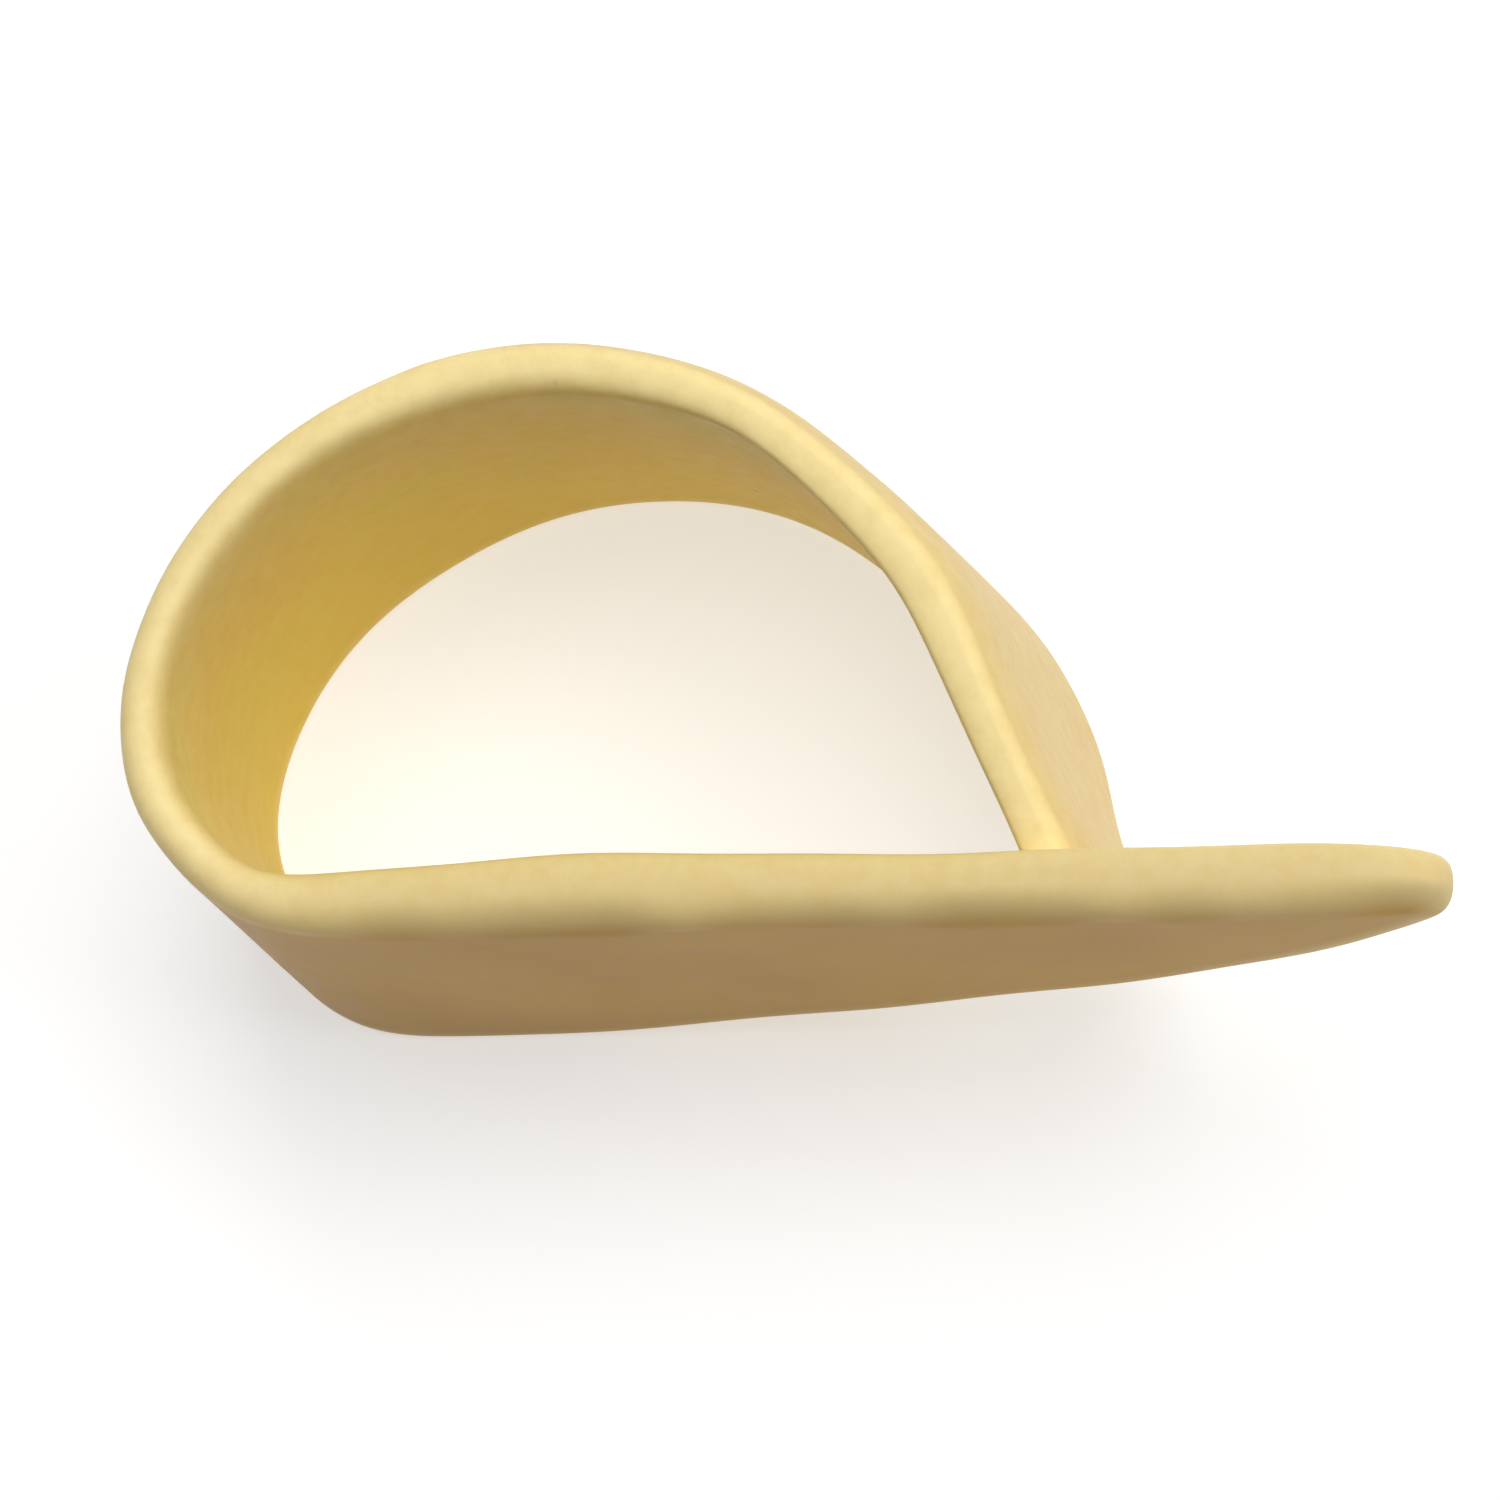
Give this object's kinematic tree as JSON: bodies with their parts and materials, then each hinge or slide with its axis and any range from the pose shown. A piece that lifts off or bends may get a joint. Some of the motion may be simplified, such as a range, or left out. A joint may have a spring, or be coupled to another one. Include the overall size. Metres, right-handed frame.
{
  "type": "thumb pick",
  "caption": "Thumb pick for plucking strings: a springy ivory plastic strip bent into an open thumb loop, with a flat blade tapering to a rounded tip.",
  "frame": {"origin": "centre of the bounding box's bottom face; the pick stands on the lower edge of its strip", "axes": "+X along the blade to the playing tip, +Y from the blade up to the arch of the band, +Z along the thumb, across the strip"},
  "size_m": [0.0362, 0.0161, 0.0145],
  "materials": {
    "blade_plastic": "satin cream celluloid, tumbled edges",
    "band_plastic": "satin cream celluloid, tumbled edges"
  },
  "bodies": {
    "pick_blade": {"blade": "blade_plastic"},
    "pick_band": {"thumb_band": "band_plastic"}
  },
  "joints": [
    {"name": "band_flex", "type": "hinge", "parent": "pick_blade", "child": "pick_band", "pos_m": [-0.01807, -0.0023, 0.00725], "axis": [0, 0, 1], "range_deg": [0, 8], "stiffness_Nm_per_rad": 1.5}
  ]
}
